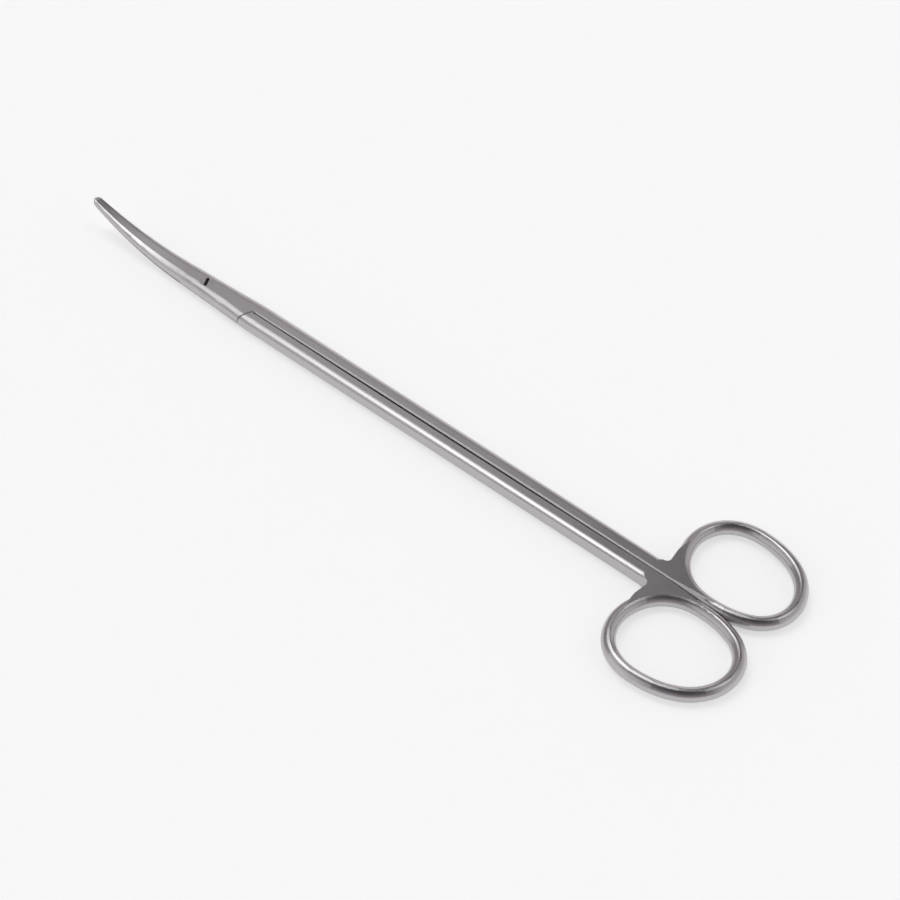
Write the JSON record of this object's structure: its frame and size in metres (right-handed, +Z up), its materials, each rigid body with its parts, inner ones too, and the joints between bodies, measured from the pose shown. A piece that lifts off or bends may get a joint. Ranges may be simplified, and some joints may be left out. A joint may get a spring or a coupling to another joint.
{
  "type": "dissecting scissors",
  "caption": "Slender curved dissecting scissors with long shanks, a screw lap joint and oval finger rings, satin stainless steel.",
  "frame": {"origin": "on the pivot axis, at the flat underside the closed scissors lie on", "axes": "+X along the shanks towards the tips, +Y towards the ring of the lower limb, +Z up along the pivot axis, the way the tips curve"},
  "size_m": [0.2308, 0.0554, 0.0094],
  "materials": {
    "satin_steel": "satin, fine bead-blast and brush",
    "screw_steel": "satin, ground flush"
  },
  "bodies": {
    "lower": {"lower_limb": "satin_steel", "pivot_screw": "screw_steel"},
    "upper": {"upper_limb": "satin_steel"}
  },
  "joints": [
    {"name": "pivot", "type": "hinge", "parent": "lower", "child": "upper", "pos_m": [0, 0, 0.002], "axis": [0, 0, 1], "range_deg": [0, 40]}
  ]
}
